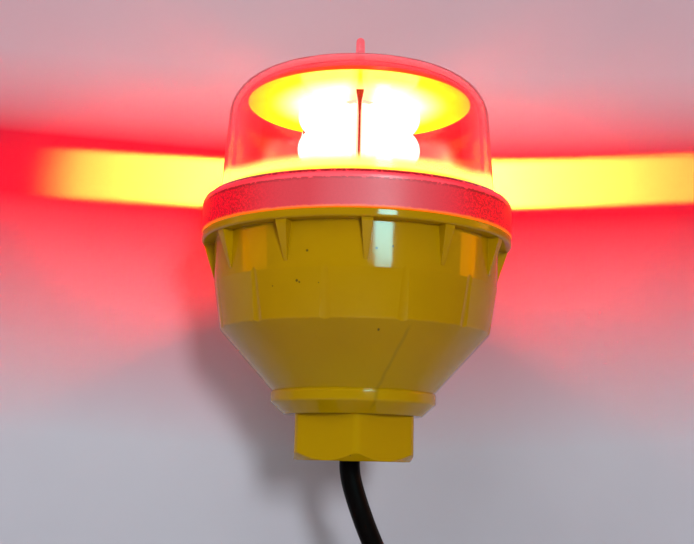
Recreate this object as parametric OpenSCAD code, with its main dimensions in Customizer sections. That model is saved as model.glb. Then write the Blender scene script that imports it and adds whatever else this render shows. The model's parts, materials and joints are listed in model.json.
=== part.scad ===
// Red LED obstruction beacon: a yellow moulded base with a hexagonal pipe socket, a clear
// screw-on dome with a bird spike, an LED tower with a reflector disc, and a driver board in
// the base. The origin is the middle of the hexagon's bottom face, and +Z points to the dome.

/* [Base housing] */
// Hexagon boss across its flats
hex_af = 48; // [46:0.5:52]
// Hexagon boss height
hex_h = 18.4; // [17:0.1:20]
// Radius of the neck ring above the hexagon
neck_r = 34.2; // [33:0.1:36]
// Radius where the cone meets the body
cone_r = 56; // [55:0.1:57]
// Radius of the rim and of the dome's skirt
rim_r = 65; // [64.5:0.1:66]
// Number of ribs under the rim, and of flutes between them
rib_n = 12; // [8:1:16]
// Depth of the flutes at the cone's edge
flute_depth = 1.1; // [0.6:0.1:1.4]

/* [Pipe socket and cable] */
// Minor radius of the G1 pipe thread in the hexagon
socket_r = 15.15; // [15.1:0.01:15.3]
// Depth of the pipe socket
socket_depth = 20; // [18:0.5:20]
// Cable diameter
cable_d = 8.5; // [8:0.1:8.6]

/* [Dome] */
// Height of the top of the dome
dome_top_z = 161.7; // [160.5:0.1:163]
// Thickness of the dome's wall
dome_wall = 2.8; // [2.4:0.1:3]
// Height of the spike's tip
spike_z = 182; // [176:0.5:186]
// Radius of the spike at its root
spike_r = 2.3; // [2:0.1:2.6]

/* [Lamp] */
// Radius of the reflector disc above the LEDs
disc_r = 47.9; // [44:0.1:49]
// Radius of the twin lenses
lens_r = 9; // [8:0.1:9.2]
// How far the tower's fins are turned from the hexagon's corners
tower_turn = -3; // [-6:0.5:6]

/* [Hidden] */
$fn = 96;
eps = 0.01;

// levels of the base housing
neck_z = 23.6;             // neck ring, bottom of its band
cone_z = 27.8;             // bottom of the cone
edge_z = 52.3;             // cone's edge
slope_z = 71;              // top of the flutes
under_rim_z = 88.6;        // underside of the rim
rim_z = 91.9;              // top face of the rim
collar_r = 59.4;           // threaded collar inside the dome's skirt
collar_z = 102.7;
chamber_r = 56.2;          // inside of the collar
floor_z = 25;              // floor of the wiring chamber
boss_r = 46.5;             // pitch radius of the chassis bosses
boss_z = 80;
plate_z = 98.5;            // underside of the chassis plate
plate_t = 3;
tray_z = plate_z + plate_t;

// levels of the lamp
tray_r = 53;
tray_top_z = 112.3;
tray_screw_r = 38;
disc_z = 150.8;
disc_t = 1.6;
led_z = [127, 141];        // heights of the two tiers of LEDs
core_half = 9;             // half the width of the tower's square core
board_t = 1.6;
led_x = core_half + board_t;
lens_x = 12.9;             // back face of the lens, from the tower's axis
lens_dome_x = 23;          // centre of the lens's round front
lead_faces = [45, 135];    // the tower's faces that the leads come out of

// levels of the driver
driver_z = 60.9;           // underside of the driver board
driver_top = driver_z + board_t;
standoffs_xy = [[37, 24], [-37, 24], [-37, -24], [37, -24]];

// the dome's skirt and shoulder
skirt_z = 92.2;
skirt_in = 61.6;
shoulder_z = 107.4;        // top of the shoulder
shoulder_in_z = 104.6;
shoulder_arc = 3.4;        // round of the shoulder's corner
foot_r = 57.9;             // outside of the dome's wall where it leaves the shoulder
foot_arc = 2;

// the free cable: straight down, then drifting to a coil that hangs below
cable_r = cable_d / 2;
coil_r = 46.5;             // middle of the coil's turns
coil_at = [-10, 0, -97];
coil_turns = 3.2;
coil_pitch = 8.8;          // sideways step from turn to turn
coil_start = 30;           // angle at which the cable joins the coil
coil_end = coil_start - 360 * coil_turns;
coil_half = (coil_turns * coil_pitch + cable_d) / 2;
tail_route = [[0, 0, 11.8], [-0.5, 0, 6], [-0.9, 0, 0], [-0.4, 0.3, -6], [1.5, 0.9, -13], [4, 2, -20],
    [6.8, 3.6, -27], [10, 5.4, -34], [14, 7.6, -42], [18.6, 9.8, -50], [23.4, 11.8, -58], [27.6, 13.3, -66],
    [30.3, 14, -73.8]];

// points on an arc from angle a0 to angle a1
function arc(c, r, a0, a1, n = 6) =
    [for (i = [0:n]) let (a = a0 + (a1 - a0) * i / n) [c[0] + r * cos(a), c[1] + r * sin(a)]];

// a smooth line through hand-placed points
function cr(a, b, c, d, t) = 0.5 * (2 * b + (c - a) * t + (2 * a - 5 * b + 4 * c - d) * t * t
    + (3 * b - a - 3 * c + d) * t * t * t);
function spline(p, k) = concat([for (i = [0:len(p) - 2], j = [0:k - 1])
    cr(p[max(i - 1, 0)], p[i], p[i + 1], p[min(i + 2, len(p) - 1)], j / k)], [p[len(p) - 1]]);
function unit(v) = v / norm(v);
function tangent(p, i) = unit(p[min(i + 1, len(p) - 1)] - p[max(i - 1, 0)]);

// a tube swept along a route; up is a direction that the route never takes
module tube(route, r, sides, up = [0, 1, 0]) {
    n = len(route);
    points = [for (i = [0:n - 1])
        let (t = tangent(route, i), u = unit(cross(t, up)), v = cross(t, u))
        for (j = [0:sides - 1]) let (a = 360 * j / sides) route[i] + r * (cos(a) * u + sin(a) * v)];
    walls = [for (i = [0:n - 2], j = [0:sides - 1]) let (k = (j + 1) % sides)
        [i * sides + j, i * sides + k, (i + 1) * sides + k, (i + 1) * sides + j]];
    ends = [[for (j = [sides - 1:-1:0]) j], [for (j = [0:sides - 1]) (n - 1) * sides + j]];
    polyhedron(points, concat(walls, ends));
}

module spread(n, first = 0) {
    for (i = [0:n - 1]) rotate(first + i * 360 / n) children();
}

module hex_2d(af) {
    rotate(30) circle(r = af / sqrt(3), $fn = 6);
}

// a pan-head screw with its head's seat at z = 0 and its shank below
module pan_screw(shank_r, length, head_r, head_h) {
    difference() {
        rotate_extrude() polygon(concat([[0, 0], [head_r, 0]],
            arc([head_r - head_h * 0.7, head_h * 0.3], head_h * 0.7, 0, 90, 5), [[0, head_h]]));
        for (a = [0, 90]) rotate(a) translate([-head_r * 0.55, -0.4, head_h - 0.9]) cube([head_r * 1.1, 0.8, 1]);
    }
    translate([0, 0, -length]) cylinder(r = shank_r, h = length);
}

// the hexagon with rounded corners
module hex_boss_2d() {
    corner = 4;
    reach = (hex_af / 2 - corner) * 2 / sqrt(3);
    polygon([for (a = [30:60:330]) each arc([reach * cos(a), reach * sin(a)], corner, a - 30, a + 30, 5)]);
}

module base_outer() {
    thread = [for (i = [2:-1:0]) let (z = 94 + 3 * i)
        each [[collar_r, z + 1.2], [collar_r + 1.4, z + 0.4], [collar_r + 1.4, z - 0.4], [collar_r, z - 1.2]]];
    rotate_extrude($fn = 180) polygon(concat(
        [[0, hex_h], [28.6, hex_h]],
        arc([neck_r - 1.5, neck_z + 0.4], 1.5, -40, 0, 4),
        arc([neck_r - 1.2, cone_z - 1], 1.2, 0, 60, 4),
        arc([cone_r - 1.5, edge_z + 0.7], 1.5, -41, -8, 3),
        [[58.9, slope_z], [59.7, under_rim_z]],
        arc([rim_r - 0.9, under_rim_z + 0.9], 0.9, -90, 0, 4),
        arc([rim_r - 0.5, rim_z - 0.5], 0.5, 0, 90, 3),
        [[collar_r, rim_z]],
        [for (i = [len(thread) - 1:-1:0]) thread[i]],
        [[collar_r, collar_z - 0.5], [collar_r - 0.5, collar_z], [0, collar_z]]));
}

module base_inner() {
    rotate_extrude($fn = 180) polygon([[0, floor_z], [24.5, floor_z], [27.5, floor_z + 1], [31.4, 29.6],
        [53.1, 53.6], [55.8, 71.6], [chamber_r, 90], [chamber_r, collar_z + 1], [0, collar_z + 1]]);
}

// a triangular gusset: its outline seen from the side, narrowed downwards
module rib() {
    intersection() {
        translate([0, 4, 0]) rotate([90, 0, 0]) linear_extrude(8)
            polygon([[57.4, under_rim_z + 0.5], [64, under_rim_z + 0.5], [63.8, under_rim_z - 1.2],
                [59.3, 74], [57.4, 72]]);
        translate([50, 0, 0]) rotate([90, 0, 90]) linear_extrude(20)
            polygon([[-2.3, under_rim_z + 0.5], [-0.7, 73], [0.7, 73], [2.3, under_rim_z + 0.5]]);
    }
}

module flute() {
    groove_r = 6;
    low = [cone_r + groove_r - flute_depth, 0, edge_z - 4];
    high = [58.9 + groove_r + 0.1, 0, slope_z + 1];
    tilt = atan2(high[0] - low[0], high[2] - low[2]);
    translate(low) rotate([0, tilt, 0]) cylinder(r = groove_r, h = norm(high - low), $fn = 48);
}

module base_housing() {
    color([0.86, 0.66, 0.02]) difference() {
        union() {
            difference() {
                base_outer();
                spread(rib_n, 15) flute();
            }
            intersection() {
                linear_extrude(hex_h + 1) hex_boss_2d();
                cylinder(r1 = 23.8, r2 = 23.8 + (hex_h + 1) * 1.1, h = hex_h + 1);
            }
            spread(rib_n) rib();
        }
        difference() {
            base_inner();
            spread(4) {
                translate([boss_r, 0, boss_z]) cylinder(r = 4.5, h = plate_z - boss_z);
                translate([boss_r, -3, boss_z]) cube([10, 6, plate_z - boss_z]);
            }
        }
        translate([0, 0, -1]) cylinder(r = socket_r, h = socket_depth + 1);
        translate([0, 0, -eps]) cylinder(r1 = socket_r + 1.5, r2 = socket_r, h = 1.5);
        translate([0, 0, socket_depth - 1]) cylinder(r = 8.1, h = 10);
        spread(4) translate([boss_r, 0, plate_z - 14]) cylinder(r = 1.7, h = 15);
    }
}

// cable gland, fitted from inside the chamber
module gland_gasket() {
    color([0.12, 0.12, 0.12]) translate([0, 0, floor_z]) difference() {
        cylinder(r = 11, h = 1.2);
        translate([0, 0, -1]) cylinder(r = 8.1, h = 4);
    }
}

module gland_body() {
    color([0.2, 0.2, 0.21]) difference() {
        union() {
            translate([0, 0, 12]) cylinder(r = 8, h = 15);
            translate([0, 0, floor_z + 1.2]) intersection() {
                linear_extrude(4.8) hex_2d(22);
                cylinder(r1 = 11.6, r2 = 16.4, h = 4.8);
            }
            translate([0, 0, 30]) cylinder(r = 9.2, h = 4.5);
        }
        translate([0, 0, 11]) cylinder(r = 4.6, h = 25);
    }
}

module gland_locknut() {
    color([0.2, 0.2, 0.21]) translate([0, 0, socket_depth - 4]) difference() {
        linear_extrude(4) hex_2d(22);
        translate([0, 0, -1]) cylinder(r = 8.05, h = 6);
    }
}

module gland_seal() {
    color([0.08, 0.08, 0.08]) translate([0, 0, 34.5]) difference() {
        cylinder(r1 = 8.9, r2 = 8, h = 6);
        translate([0, 0, -1]) cylinder(r = cable_r + 0.05, h = 8);
    }
}

module gland_cap() {
    color([0.2, 0.2, 0.21]) difference() {
        union() {
            translate([0, 0, 31.2]) linear_extrude(5) hex_2d(22);
            rotate_extrude() polygon(concat([[0, 31.2], [11, 31.2]], arc([6, 38.5], 5, 0, 90, 6), [[0, 43.5]]));
        }
        translate([0, 0, 30]) cylinder(r = 9.25, h = 10.5);
        translate([0, 0, 30]) cylinder(r = 4.8, h = 15);
    }
}

// the cable inside the lamp, and its three cores
module cable_inner() {
    color([0.06, 0.06, 0.06]) translate([0, 0, 11.8]) cylinder(r = cable_r, h = 35.2);
}

module input_core(angle, pole_y) {
    a = [1.9 * cos(angle), 1.9 * sin(angle), 0];
    tube(spline([a + [0, 0, 47], a + [0, 0, 48.6], [a[0] - 1.4, a[1] * 0.7 + pole_y * 0.3, 52.6],
        [-5.5, pole_y * 0.75, 54.8], [-10, pole_y, 55], [-15, pole_y, 55]], 3), 1.25, 8);
}

module core_brown() { color([0.35, 0.18, 0.08]) input_core(-60, -5); }
module core_blue() { color([0.1, 0.25, 0.7]) input_core(180, 0); }
module core_earth() { color([0.3, 0.6, 0.15]) input_core(60, 5); }

// the driver hangs under the chassis plate on four standoffs
module driver_board() {
    color([0.1, 0.35, 0.16]) translate([0, 0, driver_z]) difference() {
        translate([-42, -29, 0]) cube([84, 58, board_t]);
        for (p = standoffs_xy) translate([p[0], p[1], -1]) cylinder(r = 1.6, h = 4);
    }
}

module board_standoffs() {
    color([0.8, 0.65, 0.3]) for (p = standoffs_xy) translate([p[0], p[1], 0]) difference() {
        union() {
            translate([0, 0, driver_top]) linear_extrude(plate_z - driver_top) hex_2d(5.5);
            translate([0, 0, plate_z - eps]) cylinder(r = 1.45, h = plate_t);
        }
        translate([0, 0, driver_top - 1]) cylinder(r = 1.35, h = 9);
    }
}

module driver_screws() {
    color([0.75, 0.75, 0.77]) for (p = standoffs_xy)
        translate([p[0], p[1], driver_z]) mirror([0, 0, 1]) pan_screw(1.3, 7, 2.8, 1.9);
}

module input_terminal() {
    color([0.15, 0.45, 0.2]) difference() {
        translate([-26, -8, 50.4]) cube([11, 16, driver_z - 50.4]);
        for (y = [-5, 0, 5]) {
            translate([-20.5, y, 49]) cylinder(r = 1.8, h = 3.9);
            translate([-24, y, 55]) rotate([0, 90, 0]) cylinder(r = 1.2, h = 8.5);
        }
    }
}

module terminal_screws() {
    color([0.75, 0.75, 0.77]) for (y = [-5, 0, 5]) translate([-20.5, y, 51]) difference() {
        cylinder(r = 1.75, h = 1.9);
        translate([-2, -0.3, -eps]) cube([4, 0.6, 0.8]);
    }
}

module fuse() {
    color([0.45, 0.1, 0.08]) translate([-35, -14, driver_top]) cylinder(r = 4.2, h = 8);
}

module varistor() {
    color([0.1, 0.3, 0.75]) translate([-24, -17, driver_top + 6]) rotate([90, 0, 0]) cylinder(r = 6, h = 4);
}

module filter_capacitor() {
    color([0.85, 0.7, 0.1]) translate([-38, -6, driver_top]) cube([6.5, 13, 11]);
}

module choke_core() {
    color([0.15, 0.15, 0.16]) translate([-21, 4, driver_top + 8.4]) rotate([90, 0, 0])
        rotate_extrude() translate([5.6, -2.5]) square([2, 5]);
}

// two copper windings, each wrapped over a third of the ring
module choke_winding() {
    color([0.7, 0.35, 0.15]) translate([-21, 4, driver_top + 8.4]) rotate([90, 0, 0])
        for (a = [125, -55]) rotate(a) difference() {
            rotate_extrude(angle = 110) translate([4.8, -3.3]) square([3.6, 6.6]);
            rotate_extrude() translate([5.6, -2.5]) square([2, 5]);
        }
}

module bridge_rectifier() {
    color([0.1, 0.1, 0.1]) translate([-15, -22, driver_top]) cube([8, 6.4, 3]);
}

module bulk_capacitor() {
    color([0.12, 0.12, 0.2]) translate([-10, 16, driver_top]) difference() {
        cylinder(r = 6.3, h = 20);
        for (a = [0, 90]) rotate(a) translate([-4, -0.2, 19.6]) cube([8, 0.4, 1]);
    }
}

module transformer_core() {
    color([0.17, 0.16, 0.16]) translate([11, 2, driver_top]) difference() {
        translate([-13, -3.5, 1.5]) cube([26, 7, 20]);
        for (x = [-9.6, 3.4]) translate([x, -5, 5]) cube([6.2, 10, 13]);
    }
}

module transformer_winding() {
    color([0.85, 0.75, 0.25]) translate([11, 2, driver_top]) difference() {
        union() {
            translate([-9.3, -9, 0]) cube([18.6, 18, 1.5]);
            translate([-9.3, -9, 5.2]) cube([18.6, 18, 12.6]);
            for (x = [-9.3, 3.7], y = [-9, 3.7]) translate([x, y, 1]) cube([5.6, 5.3, 5]);
        }
        translate([-3.4, -3.6, 4]) cube([6.8, 7.2, 15]);
        for (x = [-20, 9.4]) translate([x, -3.6, 4]) cube([10.6, 7.2, 15]);
    }
}

module driver_chip() {
    color([0.08, 0.08, 0.08]) translate([0, -20, driver_top]) {
        translate([0, 0, 0.2]) cube([5, 4, 1.4]);
        for (i = [0:3], y = [-1, 4]) translate([0.4 + 1.2 * i, y, 0]) cube([0.5, 1, 0.6]);
    }
}

module output_capacitors() {
    color([0.12, 0.12, 0.2]) for (y = [14, 3]) translate([32, y, driver_top]) cylinder(r = 4, h = 15);
}

module led_connector() {
    color([0.92, 0.9, 0.84]) translate([25, -21, driver_top]) difference() {
        cube([9, 6.4, 8]);
        for (x = [2.5, 6.5]) translate([x, 3.2, 1]) cylinder(r = 1, h = 8);
    }
}

// the LED leads, up through the plate and the tower's bore, out to two boards
function polar(r, a, z) = [r * cos(a), r * sin(a), z];
module led_lead(x, side, face) {
    a = face + tower_turn;
    tube(spline([[x, -17.8, driver_top + 1.2], [x, -17.8, 71.5], [x, -17.8, 74.5], [x * 0.85, -13.5 + side, 84],
        [x * 0.4, -5.5 + 1.5 * side, 92], polar(1.9, a, 98), polar(1.6, a, 103.5), polar(2.4, a, 107.5), polar(4.6, a, 110), polar(7.6, a, 110.4),
        polar(10, a, 110.5), polar(11.4, a, 111.8), polar(11.5, a, 113.9)], 3), 0.85, 8, polar(1, a + 90, 0));
}

module led_lead_red() { color([0.75, 0.08, 0.06]) led_lead(31.5, 1, lead_faces[0]); }
module led_lead_black() { color([0.05, 0.05, 0.05]) led_lead(27.5, -1, lead_faces[1]); }

module chassis_plate() {
    color([0.75, 0.76, 0.78]) translate([0, 0, plate_z]) difference() {
        cylinder(r = 55.6, h = plate_t);
        translate([0, 0, -1]) cylinder(r = 5, h = plate_t + 2);
        spread(4) translate([boss_r, 0, -1]) cylinder(r = 2.2, h = plate_t + 2);
        spread(4, 45) translate([19, 0, -1]) cylinder(r = 1.7, h = plate_t + 2);
        spread(3, 60) translate([tray_screw_r, 0, -1]) cylinder(r = 1.5, h = plate_t + 2);
        for (p = standoffs_xy) translate([p[0], p[1], -1]) cylinder(r = 1.5, h = plate_t + 2);
    }
}

module chassis_screws() {
    color([0.75, 0.75, 0.77]) spread(4) translate([boss_r, 0, tray_z]) pan_screw(1.65, 14, 3.6, 2.4);
}

// the shallow white tray below the LEDs, with slots over the chassis screws
module reflector_tray() {
    color([0.95, 0.95, 0.92]) difference() {
        rotate_extrude() polygon(concat([[27, tray_z], [tray_r, tray_z]],
            arc([tray_r - 0.7, tray_top_z - 0.7], 0.7, 0, 180, 6),
            [[tray_r - 1.4, tray_z + 3]], arc([tray_r - 2.9, tray_z + 3], 1.5, 0, -90, 4), [[27, tray_z + 1.5]]));
        spread(4) translate([boss_r, 0, tray_z - 1]) cylinder(r = 4, h = 20);
        spread(3, 60) translate([tray_screw_r, 0, tray_z - 1]) cylinder(r = 1.7, h = 4);
    }
}

module tray_screws() {
    color([0.75, 0.75, 0.77]) spread(3, 60) translate([tray_screw_r, 0, tray_z + 1.5]) pan_screw(1.45, 4.4, 2.8, 1.9);
}

module thermal_pad() {
    color([0.5, 0.55, 0.62]) translate([0, 0, tray_z]) difference() {
        cylinder(r = 25, h = 0.5);
        translate([0, 0, -1]) cylinder(r = 5, h = 3);
        spread(4, 45) translate([19, 0, -1]) cylinder(r = 1.7, h = 3);
    }
}

// the extruded tower: a square core, four fins that spread at both ends, and a foot
module heat_sink() {
    fin = [[1.6, disc_z], [0.8, disc_z - 4], [0.45, disc_z - 10], [0.4, 124], [0.6, 118], [0.9, 104]];
    color([0.16, 0.14, 0.14]) difference() {
        union() {
            translate([0, 0, tray_z + 0.5]) cylinder(r = 25, h = 3);
            rotate(45 + tower_turn) translate([-core_half, -core_half, tray_z + 1])
                cube([2 * core_half, 2 * core_half, disc_z - tray_z - 1]);
            spread(4, tower_turn) translate([10, 0, 0]) rotate([90, 0, 90]) linear_extrude(14)
                polygon(concat(fin, [for (i = [len(fin) - 1:-1:0]) [-fin[i][0], fin[i][1]]]));
        }
        translate([0, 0, 100]) cylinder(r = 3.6, h = 13);
        for (a = lead_faces) rotate(a + tower_turn) translate([0, 0, 110.4]) rotate([0, 90, 0])
            cylinder(r = 2.5, h = 12);
        spread(4, 45) translate([19, 0, 100]) cylinder(r = 1.25, h = 5);
        translate([0, 0, disc_z - 10]) cylinder(r = 1.7, h = 11);
        spread(4, 45 + tower_turn) translate([4, 0, 116]) rotate([0, 90, 0]) cylinder(r = 1.2, h = 6);
    }
}

module heat_sink_screws() {
    color([0.75, 0.75, 0.77]) spread(4, 45) translate([19, 0, plate_z]) mirror([0, 0, 1])
        pan_screw(1.2, 6, 2.8, 1.9);
}

module led_boards() {
    color([0.9, 0.9, 0.88]) spread(4, 45 + tower_turn) difference() {
        translate([core_half + eps, -7.5, 113]) cube([board_t - eps, 15, 35.6]);
        translate([core_half - 1, 0, 116]) rotate([0, 90, 0]) cylinder(r = 1.3, h = 4);
    }
}

module led_board_screws() {
    color([0.75, 0.75, 0.77]) spread(4, 45 + tower_turn) translate([led_x, 0, 116]) rotate([0, 90, 0])
        pan_screw(1.15, 5, 1.9, 1.4);
}

module led_packages() {
    color([0.95, 0.9, 0.6]) spread(4, 45 + tower_turn) for (z = led_z) translate([led_x, 0, z]) {
        translate([0, -1.75, -1.75]) cube([0.8, 3.5, 3.5]);
        translate([0.8, 0, 0]) rotate([0, 90, 0]) cylinder(r1 = 1.5, r2 = 0.9, h = 0.9);
    }
}

module lens_outline() {
    for (z = led_z) translate([z, 0]) circle(r = lens_r);
}

module lens_holders() {
    color([0.9, 0.9, 0.9]) spread(4, 45 + tower_turn) translate([lens_x, 0, 0]) rotate([0, -90, 0])
        linear_extrude(lens_x - led_x) difference() {
            lens_outline();
            for (z = led_z) translate([z, 0]) circle(r = 4.5);
        }
}

module led_lenses() {
    color([1, 0.85, 0.8, 0.6]) spread(4, 45 + tower_turn) for (z = led_z) translate([lens_x, 0, z]) {
        rotate([0, 90, 0]) cylinder(r = lens_r, h = lens_dome_x - lens_x);
        translate([lens_dome_x - lens_x, 0, 0]) difference() {
            sphere(r = lens_r);
            translate([-20, -10, -10]) cube([20, 20, 20]);
        }
    }
}

module reflector_disc() {
    color([0.93, 0.9, 0.8]) difference() {
        rotate_extrude() polygon([[0, disc_z], [disc_r - 0.4, disc_z], [disc_r, disc_z + 0.4],
            [disc_r, disc_z + disc_t], [0, disc_z + disc_t]]);
        translate([0, 0, disc_z - 1]) cylinder(r = 2.1, h = 4);
    }
}

module disc_screw() {
    color([0.75, 0.75, 0.77]) translate([0, 0, disc_z + disc_t]) pan_screw(1.65, 9, 3.6, 2);
}

module dome_gasket() {
    color([0.75, 0.3, 0.25]) translate([0, 0, collar_z + 0.3]) difference() {
        cylinder(r = 61.2, h = 1.4);
        translate([0, 0, -1]) cylinder(r = 57, h = 4);
    }
}

// the dome: skirt, rounded shoulder, drafted wall, round corner, crowned top and spike
module dome_lens() {
    corner_r = 16.5;
    corner = [39, dome_top_z - 2 - corner_r];
    crown = function(r) dome_top_z - 2 * pow(r / corner[0], 2);
    color([1, 0.55, 0.6, 0.45]) union() {
        difference() {
            rotate_extrude($fn = 180) polygon(concat(
                arc([rim_r - 0.5, skirt_z + 0.5], 0.5, -90, 0, 3),
                arc([rim_r - shoulder_arc, shoulder_z - shoulder_arc], shoulder_arc, 0, 90, 10),
                arc([foot_r + foot_arc, shoulder_z + foot_arc], foot_arc, 270, 183, 5),
                arc(corner, corner_r, 2, 90, 14),
                [for (r = [34:-6:4]) [r, crown(r)]],
                [[0, dome_top_z], [0, skirt_z]]));
            rotate_extrude($fn = 180) polygon(concat(
                [[0, skirt_z - 1], [skirt_in, skirt_z - 1], [skirt_in, shoulder_in_z], [54.3, shoulder_in_z],
                    [54, 116]],
                arc(corner, corner_r - dome_wall, 2, 90, 12),
                [for (r = [34:-6:4]) [r, crown(r) - dome_wall]],
                [[0, dome_top_z - dome_wall]]));
        }
        translate([0, 0, dome_top_z - 1]) cylinder(r1 = spike_r + 2, r2 = spike_r, h = 3);
        translate([0, 0, dome_top_z + 1.9]) cylinder(r1 = spike_r, r2 = 1.8, h = spike_z - 1.8 - dome_top_z - 1.9);
        translate([0, 0, spike_z - 1.8]) sphere(r = 1.8);
    }
}

module cable_tail() {
    color([0.06, 0.06, 0.06]) tube(spline(tail_route, 2), cable_r, 12);
}

module at_coil(angle) {
    translate(coil_at) rotate([90, 0, 0]) rotate(angle) children();
}

module cable_coil() {
    color([0.06, 0.06, 0.06]) at_coil(0) rotate_extrude($fn = 96)
        translate([coil_r - cable_r, -coil_half]) square([cable_d, 2 * coil_half]);
}

module coil_tie() {
    color([0.03, 0.03, 0.03]) at_coil(-8) difference() {
        translate([coil_r - cable_r - 1.6, -6, -coil_half - 1.4]) cube([cable_d + 2.8, 12, 2 * coil_half + 2.8]);
        translate([coil_r - cable_r - 0.6, -7, -coil_half - 0.3]) cube([cable_d + 0.8, 14, 2 * coil_half + 0.6]);
    }
}

// the cable's stripped end, hanging from the last turn
module at_cable_end() {
    at_coil(coil_end) translate([coil_r, 0, coil_half - cable_r]) rotate([90, 0, 0]) children();
}

module cable_end() {
    color([0.06, 0.06, 0.06]) at_cable_end() cylinder(r = cable_r, h = 30);
}

module end_core(angle) {
    at_cable_end() rotate(angle) translate([1.9, 0, 30]) cylinder(r = 1.25, h = 24);
}

module end_core_brown() { color([0.35, 0.18, 0.08]) end_core(0); }
module end_core_blue() { color([0.1, 0.25, 0.7]) end_core(120); }
module end_core_earth() { color([0.3, 0.6, 0.15]) end_core(240); }

module end_ferrules() {
    color([0.8, 0.8, 0.82]) for (a = [0, 120, 240]) at_cable_end() rotate(a) translate([1.9, 0, 54])
        cylinder(r = 0.8, h = 8);
}

base_housing();
gland_gasket();
gland_body();
gland_locknut();
gland_seal();
gland_cap();
cable_inner();
core_brown();
core_blue();
core_earth();
driver_board();
board_standoffs();
driver_screws();
input_terminal();
terminal_screws();
fuse();
varistor();
filter_capacitor();
choke_core();
choke_winding();
bridge_rectifier();
bulk_capacitor();
transformer_core();
transformer_winding();
driver_chip();
output_capacitors();
led_connector();
led_lead_red();
led_lead_black();
chassis_plate();
chassis_screws();
reflector_tray();
tray_screws();
thermal_pad();
heat_sink();
heat_sink_screws();
led_boards();
led_board_screws();
led_packages();
lens_holders();
led_lenses();
reflector_disc();
disc_screw();
dome_gasket();
dome_lens();
cable_tail();
cable_coil();
coil_tie();
cable_end();
end_core_brown();
end_core_blue();
end_core_earth();
end_ferrules();
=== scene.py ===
import json
import math

import bmesh
import bpy
from mathutils import Matrix, Vector


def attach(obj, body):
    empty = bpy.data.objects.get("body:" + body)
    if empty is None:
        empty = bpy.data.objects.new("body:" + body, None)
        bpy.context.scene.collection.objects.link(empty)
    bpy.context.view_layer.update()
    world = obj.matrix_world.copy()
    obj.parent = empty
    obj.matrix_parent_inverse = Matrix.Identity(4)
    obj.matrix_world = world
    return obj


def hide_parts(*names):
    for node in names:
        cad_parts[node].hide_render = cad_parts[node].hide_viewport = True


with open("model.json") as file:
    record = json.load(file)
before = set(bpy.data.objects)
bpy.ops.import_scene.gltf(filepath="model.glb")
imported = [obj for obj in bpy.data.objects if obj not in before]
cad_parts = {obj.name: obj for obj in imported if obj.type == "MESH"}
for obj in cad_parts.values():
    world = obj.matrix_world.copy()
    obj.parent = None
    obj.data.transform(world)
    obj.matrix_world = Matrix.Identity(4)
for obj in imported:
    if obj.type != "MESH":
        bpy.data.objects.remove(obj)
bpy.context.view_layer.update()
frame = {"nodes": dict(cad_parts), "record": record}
NODES = frame["nodes"]
MM = 0.001


# ---------------------------------------------------------------- camera

CAMERA_SIDE = 3.5       # degrees to the left of the lamp's front
CAMERA_AWAY = 0.4713    # metres from the lamp's axis
FOCAL_MM = 58.85        # for a sensor 36 mm wide


def make_camera():
    """The photograph's view: level with the hexagon's bottom, pitched up, a little to the left."""
    data = bpy.data.cameras.new("camera")
    data.sensor_width = 36
    data.lens = FOCAL_MM
    data.clip_start = 0.01
    cam = bpy.data.objects.new("camera", data)
    bpy.context.scene.collection.objects.link(cam)
    side = math.radians(CAMERA_SIDE)
    place = Vector((-math.sin(side), -math.cos(side), 0)) * CAMERA_AWAY
    turn = Matrix.Rotation(math.radians(-3.05), 4, "Z")
    pitch = Matrix.Rotation(math.radians(90 + 9.46), 4, "X")
    roll = Matrix.Rotation(math.radians(1.28), 4, "Z")
    cam.matrix_world = Matrix.Translation(place) @ turn @ pitch @ roll
    bpy.context.scene.camera = cam


make_camera()


# ---------------------------------------------------------------- mesh helpers

def mesh_object(name, bm):
    """A smooth-shaded object from a bmesh, which is used up."""
    me = bpy.data.meshes.new(name)
    bm.normal_update()
    bm.to_mesh(me)
    bm.free()
    for p in me.polygons:
        p.use_smooth = True
    ob = bpy.data.objects.new(name, me)
    bpy.context.scene.collection.objects.link(ob)
    return ob


def outward(angle):
    """The level direction at an angle (degrees) about the lamp's axis."""
    a = math.radians(angle)
    return Vector((math.cos(a), math.sin(a), 0))


def spline(points, steps):
    """Catmull-Rom through the points, as the CAD route has it."""
    pts = [Vector(p) for p in points]
    out = []
    for i in range(len(pts) - 1):
        a, b = pts[max(i - 1, 0)], pts[i]
        c, d = pts[i + 1], pts[min(i + 2, len(pts) - 1)]
        for j in range(steps):
            t = j / steps
            out.append(0.5 * (2 * b + (c - a) * t + (2 * a - 5 * b + 4 * c - d) * t * t
                              + (3 * b - a - 3 * c + d) * t ** 3))
    out.append(pts[-1])
    return out


def frames_along(path):
    """A tangent and two sideways directions at each point, carried along without twist."""
    n = len(path)
    tangents = [(path[min(i + 1, n - 1)] - path[max(i - 1, 0)]).normalized() for i in range(n)]
    u = tangents[0].orthogonal().normalized()
    out = []
    for t in tangents:
        u = (u - t * u.dot(t)).normalized()
        out.append((t, u, t.cross(u)))
    return out


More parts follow.
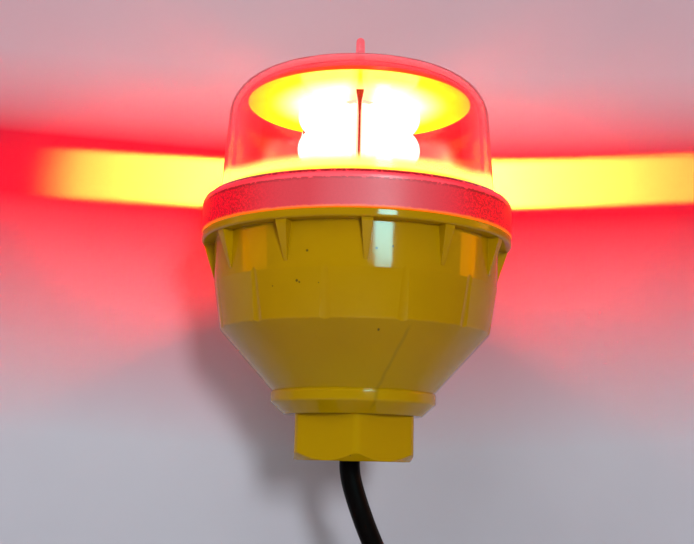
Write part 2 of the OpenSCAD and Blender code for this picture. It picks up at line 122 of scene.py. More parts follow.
def sweep(name, path, radius, sides):
    """A closed tube along a path, with a UV map in metres along and turns around."""
    bm = bmesh.new()
    uv = bm.loops.layers.uv.new("UVMap")
    run = [0.0]
    for last, p in zip(path, path[1:]):
        run.append(run[-1] + (p - last).length)
    angles = [2 * math.pi * k / sides for k in range(sides)]
    rings = [[bm.verts.new(p + radius * (math.cos(a) * u + math.sin(a) * v)) for a in angles]
             for p, (t, u, v) in zip(path, frames_along(path))]
    for i in range(len(rings) - 1):
        for k in range(sides):
            j = (k + 1) % sides
            f = bm.faces.new((rings[i][k], rings[i][j], rings[i + 1][j], rings[i + 1][k]))
            for loop, (side, ring) in zip(f.loops, ((k, i), (k + 1, i), (k + 1, i + 1), (k, i + 1))):
                loop[uv].uv = (run[ring], side / sides)
    bm.faces.new(rings[0][::-1])
    bm.faces.new(rings[-1])
    return mesh_object(name, bm)


# ---------------------------------------------------------------- the cable

CABLE_R = 4.25 * MM
CABLE_SIDES = 28
# the route's points and its coil are in mm, as in the CAD
TAIL = [(0, 0, 11.8), (-0.5, 0, 6), (-0.9, 0, 0), (-0.4, 0.3, -6), (1.5, 0.9, -13), (4, 2, -20),
        (6.8, 3.6, -27), (10, 5.4, -34), (14, 7.6, -42), (18.6, 9.8, -50), (23.4, 11.8, -58),
        (27.6, 13.3, -66), (30.3, 14, -73.8)]
COIL_R = 46.5
COIL_AT = Vector((-10, 0, -97))
COIL_TURNS = 3.2
COIL_PITCH = 8.8
COIL_START = 30    # degrees
COIL_STEPS = 150


def coil_point(angle, y):
    """A place on the coil's circle, which stands upright and faces along y."""
    a = math.radians(angle)
    return COIL_AT + Vector((COIL_R * math.cos(a), y, COIL_R * math.sin(a)))


def cable_route():
    """Out of the gland, down, round the coil, and off along its last turn's tangent."""
    tail = spline(TAIL, 3)
    half = COIL_TURNS * COIL_PITCH / 2
    coil = []
    for i in range(1, COIL_STEPS + 1):
        share = i / COIL_STEPS
        coil.append(coil_point(COIL_START - 360 * COIL_TURNS * share, half - 2 * half * share))
    heading = (coil[-1] - coil[-2]).normalized()
    heading = Vector((heading.x, 0, heading.z)).normalized()
    end = [coil[-1] + heading * s for s in (5, 10, 15, 20, 25, 28, 29.3, 30)]
    return [p * MM for p in tail + coil + end]


route = cable_route()
cable = sweep("cable", route, CABLE_R, CABLE_SIDES)
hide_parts("cable_tail", "cable_coil", "cable_end")
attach(cable, "base")


# ---------------------------------------------------------------- materials

class Nodes:
    """A short way to write a node tree."""

    def __init__(self, tree):
        self.tree = tree
        self.tree.nodes.clear()
        self._place = None

    def add(self, kind, inputs=None, **settings):
        """A new node, with values or links for its inputs."""
        node = self.tree.nodes.new("ShaderNode" + kind)
        for k, v in settings.items():
            setattr(node, k, v)
        for k, v in (inputs or {}).items():
            self.put(node.inputs[k], v)
        return node

    def put(self, socket, value):
        if isinstance(value, bpy.types.NodeSocket):
            self.tree.links.new(value, socket)
        elif isinstance(value, bpy.types.Node):
            self.tree.links.new(value.outputs[0], socket)
        elif hasattr(value, "__len__") and len(value) == 3 and len(socket.default_value) == 4:
            socket.default_value = (*value, 1)
        else:
            socket.default_value = value

    @property
    def place(self):
        """The object's own coordinates, which are the row frame's metres."""
        if self._place is None:
            self._place = self.add("TexCoord").outputs["Object"]
        return self._place

    def axes(self, vector=None):
        """The x, y and z of a vector, or else of the place."""
        return tuple(self.add("SeparateXYZ", {0: self.place if vector is None else vector}).outputs)

    def maths(self, op, a, b=0.0, c=0.0, clamp=False):
        return self.add("Math", {0: a, 1: b, 2: c}, operation=op, use_clamp=clamp).outputs[0]

    def plus(self, a, b):
        return self.maths("ADD", a, b)

    def minus(self, a, b):
        return self.maths("SUBTRACT", a, b)

    def times(self, first, *others):
        for value in others:
            first = self.maths("MULTIPLY", first, value)
        return first

    def larger(self, a, b):
        return self.maths("MAXIMUM", a, b)

    def hypotenuse(self, a, b):
        return self.maths("POWER", self.plus(self.times(a, a), self.times(b, b)), 0.5)

    def from_axis(self):
        """How far out from the lamp's axis."""
        x, y, _ = self.axes()
        return self.hypotenuse(x, y)

    def noise(self, scale, detail=3.0, rough=0.5, stretch=None, seed=0.0):
        """A noise over the place; another seed looks at another part of it."""
        at = self.place
        if stretch or seed:
            at = self.add("Mapping", {"Vector": at, "Scale": stretch or (1, 1, 1),
                                      "Location": (seed, seed * 0.7, seed * 1.3)}).outputs[0]
        inputs = {"Vector": at, "Scale": scale, "Detail": detail, "Roughness": rough}
        return self.add("TexNoise", inputs).outputs["Fac"]

    def spread(self, value, low, high, to_low=0.0, to_high=1.0):
        """value from low..high mapped smoothly to to_low..to_high, clamped."""
        inputs = {"Value": value, "From Min": low, "From Max": high, "To Min": to_low, "To Max": to_high}
        return self.add("MapRange", inputs, interpolation_type="SMOOTHSTEP").outputs[0]

    def blotches(self, scale, *shape, to=(0.0, 1.0), **more):
        """A noise spread over its usual range."""
        return self.spread(self.noise(scale, *shape, **more), 0.3, 0.7, *to)

    def near(self, value, middle, full, gone):
        """1 where value is within full of middle, and 0 from gone on."""
        return self.spread(self.maths("ABSOLUTE", self.minus(value, middle)), full, gone, 1.0, 0.0)

    def mix(self, fac, a, b, blend="MIX"):
        node = self.tree.nodes.new("ShaderNodeMix")
        node.data_type = "RGBA"
        node.blend_type = blend
        for socket, value in ((0, fac), (6, a), (7, b)):
            self.put(node.inputs[socket], value)
        return node.outputs[2]

    def bump(self, height, strength, distance, normal=None):
        inputs = {"Height": height, "Strength": strength, "Distance": distance}
        if normal is not None:
            inputs["Normal"] = normal
        return self.add("Bump", inputs).outputs[0]

    def principled(self, **inputs):
        return self.add("BsdfPrincipled", {k.replace("_", " "): v for k, v in inputs.items()})

    def mix_shader(self, fac, a, b):
        return self.add("MixShader", {0: fac, 1: a, 2: b})


class Paint(Nodes):
    """The nodes of a new material."""

    def __init__(self, name):
        self.material = bpy.data.materials.new(name)
        self.material.use_nodes = True
        super().__init__(self.material.node_tree)

    def done(self, shader):
        self.add("OutputMaterial", {"Surface": shader})
        return self.material


def plastic(name, colour, rough=(0.35, 0.5), bump=0.15, depth=0.00003, **more):
    """Moulded plastic, rubber or paint: two close shades, uneven gloss and a fine grain."""
    n = Paint(name)
    dark = tuple(c * 0.8 for c in colour)
    return n.done(n.principled(
        Base_Color=n.mix(n.blotches(45, 3), dark, colour),
        Roughness=n.blotches(121.5, 4, 0.6, seed=3.1, to=rough),
        Normal=n.bump(n.noise(1800, 4, 0.6), bump, depth), Specular_IOR_Level=0.5, **more))


def metal(name, colour, rough=(0.2, 0.4), lines=(1, 1, 30), scale=150.0):
    """Bare or plated metal, brushed along one direction."""
    n = Paint(name)
    brushed = n.noise(scale, 5, 0.6, stretch=lines)
    return n.done(n.principled(
        Base_Color=n.mix(n.spread(n.noise(90, 3), 0.3, 0.75), tuple(c * 0.82 for c in colour), colour),
        Metallic=1.0, Roughness=n.spread(brushed, 0.3, 0.7, rough[0], rough[1]),
        Normal=n.bump(brushed, 0.1, 0.00002)))


# specks burnt into the yellow plastic: angle about the axis (degrees), height and radius (mm)
SPECKS = ((-111.5, 77, 0.42), (-115.7, 66, 0.45), (-114.7, 65.4, 0.32), (-126.2, 64.5, 0.25),
          (-86.2, 78, 0.40), (-80.2, 79, 0.34), (-83.7, 48.5, 0.42), (-107.2, 65, 0.22),
          (-95, 2.2, 0.28), (57.7, 66, 0.4), (132.6, 80, 0.45), (-20.6, 83, 0.4))
BODY_R = 0.056         # where the cone meets the body
FLOW_TOP_Z = 0.048     # the flow line is whole up to here, just under the cone's edge


def flow_line(n):
    """How strongly the flow line shows: down the cone and the neck, leaning and wandering a little."""
    x, y, z = n.axes()
    a = math.radians(-71.5)
    wander = n.times(n.minus(n.noise(60, 3), 0.5), 0.003)
    lean = n.times(n.minus(z, FLOW_TOP_Z), -0.17)
    off = n.plus(n.times(x, -math.sin(a)), n.times(y, math.cos(a)))
    off = n.maths("ABSOLUTE", n.plus(n.plus(off, lean), wander))
    below_top = n.spread(z, FLOW_TOP_Z, FLOW_TOP_Z + 0.004, 1.0, 0.0)
    above_hexagon = n.spread(z, 0.018, 0.023)
    line = n.spread(off, 0.0001, 0.0012, 1.0, 0.0)
    return n.times(line, above_hexagon, below_top, n.spread(x, 0.002, 0.006))


def specks(n):
    """How strongly a speck shows, by its distance along the body's surface."""
    x, y, z = n.axes()
    level = n.add("CombineXYZ", {0: x, 1: y}).outputs[0]
    way = n.add("VectorMath", {0: level}, operation="NORMALIZE").outputs[0]
    found = 0.0
    for angle, height, radius in SPECKS:
        turn = n.add("VectorMath", {0: way, 1: outward(angle)}, operation="DISTANCE").outputs["Value"]
        away = n.hypotenuse(n.times(turn, BODY_R), n.minus(z, height * MM))
        found = n.larger(found, n.spread(away, 0.6 * radius * MM, 1.6 * radius * MM, 1.0, 0.0))
    return found


def yellow_housing():
    """Glossy moulded yellow with a flow line on the cone, a few dark specks and faint scuffs."""
    n = Paint("yellow_housing")
    colour = n.mix(n.blotches(26, 4, 0.55), (0.45, 0.252, 0.0), (0.50, 0.282, 0.0))
    # painted light: the yellow is greener below 30 to 45 mm, over the hexagon, neck and cone's foot, for
    # less red light falling there
    colour = n.mix(n.spread(n.axes()[2], 0.030, 0.045), (0.475, 0.288, 0.0), colour)
    seam = flow_line(n)
    colour = n.mix(n.times(seam, 0.32), colour, (0.18, 0.13, 0.01))
    colour = n.mix(n.times(specks(n), 0.85), colour, (0.05, 0.035, 0.005))
    # handling marks: short fine scratches that only dull the gloss
    scratches = n.spread(n.noise(120, 6, 0.7, stretch=(1, 1, 0.12), seed=1.7), 0.62, 0.72)
    rough = n.plus(n.blotches(40, 4, 0.6, seed=5.0, to=(0.07, 0.11)), n.times(scratches, 0.08))
    soft = n.add("Bevel", {"Radius": 0.0004}, samples=4).outputs[0]
    peel = n.bump(n.noise(520, 2, 0.5), 0.10, 0.00004, soft)
    return n.done(n.principled(Base_Color=colour, Roughness=rough, Normal=n.bump(seam, 0.25, 0.00005, peel),
                               Specular_IOR_Level=0.30, Subsurface_Weight=0.06,
                               Subsurface_Radius=(0.9, 0.5, 0.05), Subsurface_Scale=0.002))


# levels on the dome that its looks follow
SKIRT_Z = 0.0923           # the skirt's bottom edge
FROST_Z = 0.1033           # top of the frosted band, where its lower dotted line runs
SHOULDER_LINE_Z = 0.1067   # the upper dotted line, round the shoulder's corner
CLEAR_Z = 0.1073           # the wall is clear from here up


def clear_wall(n, z, facing):
    """See-through, going hazy and red where the wall is seen edge-on, with a painted red glow in the hazy
    part.
    """
    gloss = n.plus(n.times(n.maths("POWER", facing, 5.0), 0.8), 0.03)
    top = n.spread(z, 0.148, 0.156)
    tint = n.mix(top, (0.985, 0.58, 0.63), (0.975, 0.78, 0.81))
    clear = n.mix_shader(gloss, n.add("BsdfTransparent", {"Color": tint}),
                         n.add("BsdfGlossy", {"Color": (1, 1, 1), "Roughness": 0.04}))
    # the hazy part is painted with a red glow, for the LEDs' light in the plastic
    haze_and_painted_glow = n.principled(
        Base_Color=n.mix(n.spread(facing, 0.40, 0.75), (0.45, 0.0, 0.01), (0.50, 0.12, 0.15)),
        Emission_Color=n.mix(top, (1.0, 0.02, 0.035), (0.95, 0.07, 0.09)), Emission_Strength=0.9,
        Roughness=0.25, Specular_IOR_Level=0.12, Normal=n.bump(n.noise(300, 2), 0.05, 0.00005))
    scratches = n.spread(n.noise(230, 6, 0.75, stretch=(1, 1, 0.2), seed=7.0), 0.60, 0.70)
    hazy = n.maths("ADD", n.spread(facing, 0.15, 1.0, 0.05, 0.75), n.times(scratches, 0.04), clamp=True)
    # the top is seen through more plastic than the wall
    hazy = n.larger(hazy, n.spread(z, 0.150, 0.166, 0.0, 0.30))
    wall = n.mix_shader(hazy, clear, haze_and_painted_glow)
    # a painted dark line, with a faint painted red glow, where the eye runs along the outer or the inner
    # face
    line = n.principled(Base_Color=(0.2, 0.0, 0.01), Roughness=0.3, Emission_Color=(0.30, 0.0, 0.002),
                        Emission_Strength=1.0)
    dark = n.times(n.spread(facing, 0.77, 0.83), n.spread(z, 0.118, 0.150, 0.5, 1.0))
    wall = n.mix_shader(dark, wall, line)
    # the beams light the foot of the wall, higher up where it is seen edge-on
    foot = n.principled(
        Base_Color=(0.3, 0.2, 0.02), Roughness=0.2, Specular_IOR_Level=0.2,
        Emission_Color=n.mix(n.spread(z, 0.1088, 0.1105), (1.0, 0.78, 0.03), (1.0, 0.90, 0.20)),
        Emission_Strength=1.5)
    rise = n.minus(z, n.spread(facing, 0.45, 0.85, 0.0, 0.0035))
    lit = n.times(n.spread(rise, 0.1110, 0.1158, 0.92, 0.0), n.spread(facing, 0.90, 0.97, 1.0, 0.2))
    return n.mix_shader(lit, wall, foot)


def frosted_skirt(n, edge, facing):
    """Grainy, with a painted red glow, brighter and speckled to the sides and lighter on a smoother lip,
    dotted dark lines under and over the lip, and a painted orange glow along the bottom edge.
    """
    grain = n.noise(1000, 5, 0.8)
    pits = n.noise(2600, 3, 0.6, seed=2.0)
    cells = n.add("TexVoronoi", {"Vector": n.place, "Scale": 1700.0}).outputs["Distance"]
    speckle = n.times(n.spread(grain, 0.35, 0.65), n.spread(cells, 0.1, 0.5))
    side = n.spread(facing, 0.10, 0.45)
    lip = n.spread(edge, FROST_Z - 0.0001, FROST_Z + 0.0003)
    lower = n.times(n.near(edge, FROST_Z, 0.0001, 0.0008), n.spread(n.noise(700, 2, seed=9.0), 0.34, 0.46))
    upper = n.times(n.near(edge, SHOULDER_LINE_Z, 0.0006, 0.0013),
                    n.spread(n.noise(520, 2, seed=11.0), 0.34, 0.48))
    # a painted red glow over the band, brighter to the sides and darker in the speckles
    glow = n.mix(side, (0.40, 0.010, 0.018), (0.95, 0.0, 0.016))
    darker = n.times(n.spread(speckle, 0.1, 0.7, 0.85, 0.0), n.spread(side, 0, 1, 0.3, 0.9))
    glow = n.mix(darker, glow, (0.30, 0.0, 0.004))
    # the painted glow is lighter on the lip, with dotted dark lines under and over it
    glow = n.mix(lip, glow, n.mix(side, (0.92, 0.06, 0.085), (1.0, 0.03, 0.05)))
    glow = n.mix(n.larger(lower, upper), glow, (0.24, 0.0, 0.003))
    # a painted orange glow along the band's bottom edge
    glow = n.mix(n.spread(edge, SKIRT_Z, SKIRT_Z + 0.0011, 0.85, 0.0), glow, (1.0, 0.20, 0.0))
    # the base colour is painted pinker where the band faces the eye, and dark to the sides
    middle = n.mix(n.spread(facing, 0.01, 0.09), (0.42, 0.13, 0.15), (0.42, 0.06, 0.075))
    return n.principled(Base_Color=n.mix(side, middle, (0.12, 0.0, 0.008)),
                        Roughness=n.spread(lip, 0, 1, 0.42, 0.22), Specular_IOR_Level=0.3,
                        Emission_Color=glow, Emission_Strength=1.0,
                        Normal=n.bump(n.plus(grain, pits), 0.35, 0.0001))


def dome_clear():
    """Clear polycarbonate with a painted red glow in its thickness, frosted over the skirt."""
    n = Paint("dome_clear")
    z = n.axes()[2]
    facing = n.add("LayerWeight", {"Blend": 0.5}).outputs["Facing"]
    ragged = n.times(n.minus(n.noise(650, 3, 0.7, seed=4.0), 0.5), 0.0012)
    edge = n.plus(z, ragged)
    frost = n.spread(edge, CLEAR_Z, CLEAR_Z + 0.0004, 1.0, 0.0)
    return n.done(n.mix_shader(frost, clear_wall(n, z, facing), frosted_skirt(n, edge, facing)))


def lens_lit():
    """The clear lens with the LED burning in it."""
    n = Paint("lens_clear")
    facing = n.add("LayerWeight", {"Blend": 0.3}).outputs["Facing"]
    strength = n.times(n.spread(facing, 0.55, 1.0, 9.0, 3.2), n.blotches(130, 3, to=(0.8, 1.1)))
    return n.done(n.principled(Base_Color=(0.9, 0.75, 0.65), Roughness=0.06, Coat_Weight=0.5,
                               Emission_Color=(1.0, 0.78, 0.55), Emission_Strength=strength))


TRAY_LIP_Z = 0.113    # just above the tray's lip
DISC_Z = 0.149        # just under the disc
BRIM_R = 0.0475       # the disc's outermost edge starts here


def reflector():
    """Glossy white plastic with a yellow base colour and a painted yellow glow, both for the light that the
    LEDs throw along it.
    """
    n = Paint("reflector_white")
    x, _, z = n.axes()
    out = n.from_axis()
    # the painted glow is white near the tower, less so in painted shade in line with the fins, and white on
    # the tray's lip
    in_line = n.spread(n.maths("ABSOLUTE", x), 0.002, 0.009, 0.35, 1.0)
    near = n.times(n.spread(out, 0.018, 0.040, 1.0, 0.0), in_line)
    near = n.larger(near, n.spread(z, TRAY_LIP_Z, TRAY_LIP_Z + 0.007, 0.6, 0.0))
    # a painted dark shadow along the disc's outermost edge
    painted_brim_shadow = n.times(n.spread(out, BRIM_R, BRIM_R + 0.0002), n.spread(z, 0.140, 0.141))
    lit = n.mix(painted_brim_shadow, n.mix(near, (1.0, 0.82, 0.0), (1.0, 0.95, 0.70)), (0.16, 0.004, 0.0))
    # the disc's upper face is out of the light, and only a little comes through
    up = n.axes(n.add("TexCoord").outputs["Normal"])[2]
    above = n.times(n.spread(up, 0.3, 0.7), n.spread(z, DISC_Z, DISC_Z + 0.001))
    ripple = n.blotches(75, 4, 0.6, seed=6.0, to=(0.9, 1.1))
    strength = n.times(ripple, n.spread(near, 0, 1, 4.6, 6.5), n.spread(above, 0, 1, 1.0, 0.03))
    # the base colour is painted yellow, for the LEDs' light on the white plastic
    return n.done(n.principled(Base_Color=n.mix(n.blotches(60, 3), (0.66, 0.52, 0.03), (0.74, 0.59, 0.05)),
                               Roughness=n.blotches(90, 3, seed=2.0, to=(0.14, 0.24)),
                               Emission_Color=lit, Emission_Strength=strength, Specular_IOR_Level=0.2,
                               Normal=n.bump(n.noise(600, 2), 0.06, 0.00004)))


def heat_sink():
    """Black anodised aluminium, with painted light: bright yellow-white near the LEDs and dark red along
    the fins' outer edges.
    """
    n = Paint("heat_sink")
    brushed = n.noise(500, 5, 0.6, stretch=(1, 1, 0.05))
    painted_led_light = n.spread(n.from_axis(), 0.0185, 0.0228, 1.0, 0.0)
    return n.done(n.principled(
        Base_Color=n.mix(n.spread(brushed, 0.3, 0.7), (0.04, 0.03, 0.03), (0.06, 0.05, 0.05)), Metallic=1.0,
        Roughness=n.spread(brushed, 0.3, 0.7, 0.4, 0.55), Normal=n.bump(brushed, 0.1, 0.00002),
        Emission_Color=n.mix(painted_led_light, (0.24, 0.004, 0.0), (1.0, 0.85, 0.45)),
        Emission_Strength=n.spread(painted_led_light, 0, 1, 1.0, 3.0)))


def cable_rubber():
    """Extruded rubber: a satin black with dusty scuffs and a faint lengthwise grain."""
    n = Paint("cable_black")
    dust = n.spread(n.noise(70, 6, 0.65, seed=1.0), 0.52, 0.75)
    uv = n.add("Mapping", {"Vector": n.add("TexCoord").outputs["UV"], "Scale": (40, 90, 1)}).outputs[0]
    along = n.add("TexNoise", {"Vector": uv, "Scale": 1.0, "Detail": 4.0}).outputs["Fac"]
    return n.done(n.principled(
        Base_Color=n.mix(n.times(dust, 0.3), (0.003, 0.0024, 0.0022), (0.012, 0.009, 0.008)),
        Roughness=n.plus(n.spread(along, 0.3, 0.7, 0.3, 0.42), n.times(dust, 0.18)),
        Specular_IOR_Level=0.05, Normal=n.bump(n.plus(along, n.noise(2200, 3, 0.6)), 0.12, 0.00005)))


def woven(name, colour):
    """A woven strap: threads along all three axes, a fuzzy sheen."""
    n = Paint(name)
    threads = 0.0
    for axis, scale in (("X", 240.0), ("Y", 320.0), ("Z", 320.0)):
        inputs = {"Vector": n.place, "Scale": scale, "Distortion": 0.6, "Detail": 2.0}
        threads = n.plus(threads, n.add("TexWave", inputs, bands_direction=axis).outputs["Fac"])
    threads = n.times(threads, 0.4)
    return n.done(n.principled(Base_Color=n.mix(threads, tuple(c * 0.4 for c in colour), colour),
                               Roughness=0.85, Sheen_Weight=0.4, Sheen_Roughness=0.5,
                               Normal=n.bump(n.plus(threads, n.noise(1500, 5, 0.7)), 0.6, 0.0002)))


def earth_core():
    """Green insulation with a yellow stripe along it."""
    n = Paint("core_green_yellow")
    x, y, _ = n.axes()
    stripe = n.spread(n.maths("SINE", n.times(n.plus(x, y), 2600.0)), -0.15, 0.15)
    return n.done(n.principled(Base_Color=n.mix(stripe, (0.05, 0.25, 0.03), (0.6, 0.5, 0.02)),
                               Roughness=n.blotches(200, 3, to=(0.35, 0.5)),
                               Normal=n.bump(n.noise(1500, 3), 0.1, 0.00003)))


def board(name, colour, copper, lit=(1, 1, 1), light=0.0):
    """A circuit board: solder mask over darker laminate, with faint tracks, and a painted glow of the given
    colour, none unless a strength is given.
    """
    n = Paint(name)
    tracks = n.add("TexBrick", {"Vector": n.place, "Scale": 160.0, "Mortar Size": 0.03, "Color1": (1, 1, 1),
                                "Color2": (0.6, 0.6, 0.6), "Mortar": (0, 0, 0)}).outputs["Color"]
    mask = n.mix(n.blotches(80, 3), colour, copper)
    return n.done(n.principled(Base_Color=n.mix(0.25, mask, tracks, "MULTIPLY"),
                               Roughness=n.blotches(150, 3, to=(0.3, 0.45)),
                               Emission_Color=lit, Emission_Strength=light,
                               Normal=n.bump(tracks, 0.2, 0.00005)))


def emitter():
    """The LED's own bright chip under its resin."""
    n = Paint("led_emitter")
    return n.done(n.principled(Base_Color=(0.9, 0.5, 0.2), Roughness=0.3, Emission_Color=(1.0, 0.45, 0.12),
                               Emission_Strength=n.blotches(700, 2, to=(6.0, 9.0))))


# the colour of the LEDs' light, painted as a glow on the LED boards and lens holders
PAINTED_LED_GLOW = (1.0, 0.88, 0.50)

PAINT = {
    "yellow_housing": yellow_housing(),
    "dome_clear": dome_clear(),
    "silicone": plastic("silicone", (0.42, 0.10, 0.08), rough=(0.5, 0.65)),
    "black_nylon": plastic("black_nylon", (0.022, 0.022, 0.024), rough=(0.4, 0.55), bump=0.3),
    "black_rubber": plastic("black_rubber", (0.014, 0.013, 0.013), rough=(0.55, 0.7)),
    "cable_black": cable_rubber(),
    "tie_black": woven("tie_black", (0.035, 0.034, 0.036)),
    "core_brown": plastic("core_brown", (0.13, 0.045, 0.016), rough=(0.35, 0.5)),
    "core_blue": plastic("core_blue", (0.012, 0.07, 0.38), rough=(0.35, 0.5)),
    "core_green_yellow": earth_core(),
    "tinned_copper": metal("tinned_copper", (0.78, 0.77, 0.74), rough=(0.25, 0.4)),
    "circuit_board": board("circuit_board", (0.008, 0.075, 0.03), (0.02, 0.13, 0.05)),
    "brass": metal("brass", (0.78, 0.55, 0.22), rough=(0.18, 0.32)),
    "steel": metal("steel", (0.62, 0.63, 0.65), rough=(0.22, 0.38)),
    "green_nylon": plastic("green_nylon", (0.02, 0.18, 0.05), rough=(0.4, 0.55)),
    "fuse_red": plastic("fuse_red", (0.22, 0.02, 0.016), rough=(0.3, 0.4)),
    "varistor_blue": plastic("varistor_blue", (0.012, 0.08, 0.42), rough=(0.25, 0.4), bump=0.3),
    "capacitor_yellow": plastic("capacitor_yellow", (0.65, 0.4, 0.02), rough=(0.35, 0.45)),
    "ferrite": plastic("ferrite", (0.035, 0.035, 0.038), rough=(0.55, 0.75), bump=0.4, depth=0.00006),
    "copper_wire": metal("copper_wire", (0.72, 0.28, 0.12), rough=(0.2, 0.3), lines=(1, 30, 1), scale=300),
    "black_epoxy": plastic("black_epoxy", (0.012, 0.012, 0.013), rough=(0.5, 0.65), bump=0.3),
    "capacitor_sleeve": plastic("capacitor_sleeve", (0.012, 0.012, 0.03), rough=(0.25, 0.35)),
    "polyester_tape": plastic("polyester_tape", (0.62, 0.44, 0.05), rough=(0.2, 0.3)),
    "white_nylon": plastic("white_nylon", (0.74, 0.71, 0.64), rough=(0.4, 0.5)),
    "wire_red": plastic("wire_red", (0.5, 0.012, 0.01), rough=(0.35, 0.5)),
    "wire_black": plastic("wire_black", (0.012, 0.012, 0.012), rough=(0.35, 0.5)),
    "aluminium": metal("aluminium", (0.72, 0.73, 0.75), rough=(0.25, 0.4), lines=(1, 25, 1)),
    "reflector_white": reflector(),
    "thermal_pad": plastic("thermal_pad", (0.25, 0.31, 0.38), rough=(0.6, 0.75), bump=0.3),
    "heat_sink": heat_sink(),
    # the LED boards and lens holders are painted with a glow for the LEDs' light on them
    "led_board_white": board("led_board_white", (0.72, 0.72, 0.70), (0.8, 0.8, 0.78), PAINTED_LED_GLOW, 5.0),
    "led_emitter": emitter(),
    "lens_holder": plastic("lens_holder", (0.8, 0.79, 0.77), rough=(0.25, 0.4), Emission_Color=PAINTED_LED_GLOW,
                           Emission_Strength=5.0),
    "lens_clear": lens_lit(),
}

for part in frame["record"]["subparts"]:
    ob = NODES[part["node"]]
    ob.data.materials.clear()
    ob.data.materials.append(PAINT[part["material_slot"]])
cable.data.materials.append(PAINT["cable_black"])

# the pieces that glow are seen to glow, and the lamps below do their lighting
for name in ("led_lenses", "led_packages", "led_boards", "lens_holders", "reflector_disc",
             "reflector_tray"):
    NODES[name].visible_diffuse = False


# ---------------------------------------------------------------- stage and light

# the stage, in metres
WALL_Y = 0.092
WALL_TOP = 1.4
FLOOR_Z = -0.185
BEND_R = 0.03             # the curve between the floor and the wall
BEHIND_Z = -0.187         # the floor behind the wall, just under the other
HALF_WIDE = 1.6
BEAM_Z = 0.134            # the lenses' middle
BEAM_RISE = 0.06          # how much higher the beams land for each metre to the side
FADE_UP = 0.034           # how fast the painted red light fades above and below the beams
FADE_DOWN = 0.118


def backdrop_paper():
    """Pale paper with a painted red pool of light around the beams, where the camera loses green and blue
    in the strong red light.
    """
    n = Paint("backdrop_paper")
    x, _, z = n.axes()
    # the painted red light: most at the beam, less above and below it
    height = n.minus(z, n.maths("MULTIPLY_ADD", n.maths("ABSOLUTE", x), BEAM_RISE, BEAM_Z))
    above = n.maths("EXPONENT", n.maths("MULTIPLY_ADD", height, -1 / FADE_UP, 0.47), clamp=True)
    below = n.maths("MULTIPLY_ADD", height, 1 / FADE_DOWN, 1.12, clamp=True)
    red = n.maths("MINIMUM", n.larger(above, 0.27), below)
    white = n.mix(n.blotches(9, 4), (0.59, 0.615, 0.68), (0.63, 0.655, 0.72))
    white = n.mix(n.spread(z, -0.17, -0.09), (0.46, 0.46, 0.48), white)
    paper = n.principled(Base_Color=n.mix(red, white, (0.70, 0.012, 0.045)), Roughness=0.75,
                         Specular_IOR_Level=0.1, Normal=n.bump(n.noise(700, 4), 0.15, 0.0001))
    from_behind = n.add("NewGeometry").outputs["Backfacing"]
    return n.done(n.mix_shader(from_behind, paper, n.add("BsdfTransparent")))


def floor_paper():
    """The same paper out of the red light."""
    n = Paint("floor_paper")
    white = n.mix(n.blotches(9, 4), (0.54, 0.535, 0.555), (0.58, 0.575, 0.59))
    return n.done(n.principled(Base_Color=white, Roughness=0.75))


def sheet(name, profile, paper):
    """A sheet as wide as the stage, along a profile of (y, z) points."""
    bm = bmesh.new()
    left, right = [[bm.verts.new((x, y, z)) for y, z in profile] for x in (-HALF_WIDE, HALF_WIDE)]
    for i in range(len(profile) - 1):
        bm.faces.new((left[i], right[i], right[i + 1], left[i + 1]))
    ob = mesh_object(name, bm)
    ob.data.materials.append(paper)
    return ob


def backdrop():
    """A pale floor that curves up into a wall behind the lamp, see-through from behind."""
    profile = [(-HALF_WIDE, FLOOR_Z)]
    for angle in range(0, 91, 10):
        a = math.radians(angle)
        profile.append((WALL_Y - BEND_R + BEND_R * math.sin(a), FLOOR_Z + BEND_R - BEND_R * math.cos(a)))
    profile.append((WALL_Y, WALL_TOP))
    ob = sheet("backdrop", profile, backdrop_paper())


def plain_floor():
    """The floor goes on behind the wall, for the views from there."""
    ob = sheet("floor_behind", [(0.05, BEHIND_Z), (HALF_WIDE, BEHIND_Z)], floor_paper())


def lamp(name, kind, place, colour, watts, **settings):
    """A light that the camera doesn't see itself."""
    data = bpy.data.lights.new(name, kind)
    data.color = colour
    data.energy = watts
    for k, v in settings.items():
        setattr(data, k, v)
    ob = bpy.data.objects.new(name, data)
    bpy.context.scene.collection.objects.link(ob)
    ob.location = place
    ob.visible_camera = False
    return ob


def panel(name, place, aim, colour, watts, wide, tall):
    """A rectangle of light that faces its aim."""
    ob = lamp(name, "AREA", place, colour, watts, shape="RECTANGLE", size=wide, size_y=tall)
    ob.rotation_euler = (Vector(aim) - Vector(place)).to_track_quat("-Z", "Y").to_euler()
    return ob


def around(angle, distance, height):
    """A place about the lamp's axis, counted in degrees from the camera's side to the right."""
    return outward(angle - 90 - CAMERA_SIDE) * distance + Vector((0, 0, height))


def lens_pattern(light, lift, by_height, aim=None):
    """Shape a light by how far above its beam it lands, and keep it within 36 degrees of an aim.

    The beam rises by lift for each metre, and by_height(nodes, height) gives the strength.
    """
    light.data.use_nodes = True
    n = Nodes(light.data.node_tree)
    way = n.add("TexCoord").outputs["Normal"]
    distance = n.add("LightPath").outputs["Ray Length"]
    strength = by_height(n, n.times(n.minus(n.axes(way)[2], lift), distance))
    if aim is not None:
        facing = n.add("VectorMath", {0: way, 1: aim}, operation="DOT_PRODUCT").outputs["Value"]
        inside = n.spread(facing, math.cos(math.radians(36)), math.cos(math.radians(30)))
        strength = n.times(strength, inside)
    n.add("OutputLight", {"Surface": n.add("Emission", {"Color": (1, 1, 1), "Strength": strength})})


def slab(n, height):
    """A beam as tall as the pair of lenses."""
    return n.spread(n.maths("ABSOLUTE", height), 0.0110, 0.0135, 1.0, 0.0)


def halo(n, height):
    """The light spilt above and below the beam, more of it below."""
    away = n.larger(n.times(height, 1 / 0.024), n.times(height, -1 / 0.075))
    return n.maths("EXPONENT", n.times(away, -1.0))


backdrop()
plain_floor()

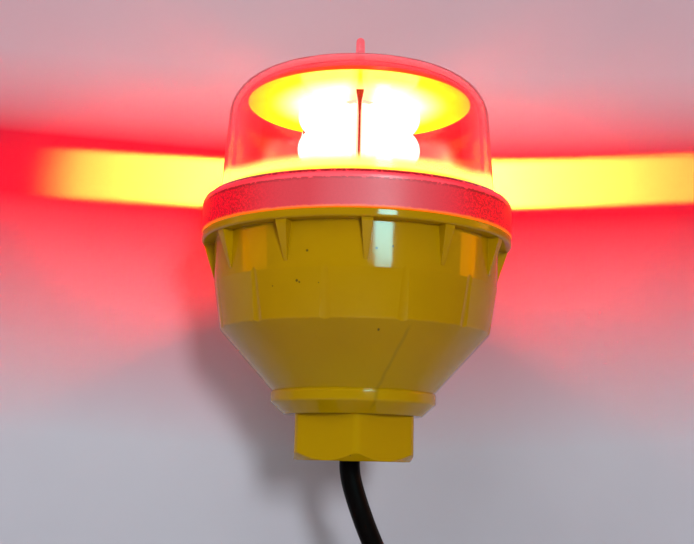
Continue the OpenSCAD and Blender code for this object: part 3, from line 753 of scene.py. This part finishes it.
MIDDLE = (0, 0, 0.08)
window = panel("window", around(12, 1.25, 0.18), MIDDLE, (0.95, 0.96, 1.0), 7.0, 0.15, 0.22)
window.visible_glossy = False
shine = panel("window_shine", around(21, 1.25, 0.43), MIDDLE, (0.30, 0.98, 1.0), 12.4, 0.28, 0.52)
shine.visible_diffuse = False
fill = panel("fill", around(-30, 1.2, 1.0), MIDDLE, (0.96, 0.985, 1.02), 8.1, 1.4, 1.2)
fill.visible_glossy = False

world = bpy.data.worlds.new("world")
world.use_nodes = True
background = world.node_tree.nodes["Background"]
background.inputs["Color"].default_value = (0.93, 0.95, 1.0, 1)
background.inputs["Strength"].default_value = 0.08
bpy.context.scene.world = world

# the red light of the tower's four sides, from just in front of the lenses
LED_ANGLES = (42, 132, 222, 312)
RED = (1.0, 0.012, 0.010)
for k, angle in enumerate(LED_ANGLES):
    place = outward(angle) * 0.0315 + Vector((0, 0, 0.1345))
    lamp(f"led_{k}", "POINT", place, RED, 0.3, shadow_soft_size=0.004)

# the two back lenses' beams on the wall, which the camera turns yellow, and their red spill
for k, lift, towards, watts in ((0, 0.085, 54, 620), (1, 0.042, 118, 350)):
    place = outward(LED_ANGLES[k]) * 0.030 + Vector((0, 0, BEAM_Z))
    beam = lamp(f"beam_{k}", "POINT", place, (0.1, 1.0, 0.025), watts, shadow_soft_size=0.003)
    lens_pattern(beam, lift, slab, outward(towards))
    spill = lamp(f"spill_{k}", "POINT", place, (1.0, 0.0, 0.0), 3.0, shadow_soft_size=0.003)
    lens_pattern(spill, lift, halo)

# the same beams, landing on the room to either side
for name, towards, height, tall, watts in (("side_left", 174, 0.160, 0.07, 0.40),
                                           ("side_right", 14, 0.140, 0.12, 1.1)):
    place = outward(towards) * 0.55 + Vector((0, 0, height))
    panel(name, place, (0, 0, 0.09), (1.0, 0.24, 0.0), watts, 0.45, tall)

scene = bpy.context.scene
scene.view_settings.view_transform = "Standard"
scene.view_settings.look = "None"
scene.cycles.transparent_max_bounces = 24
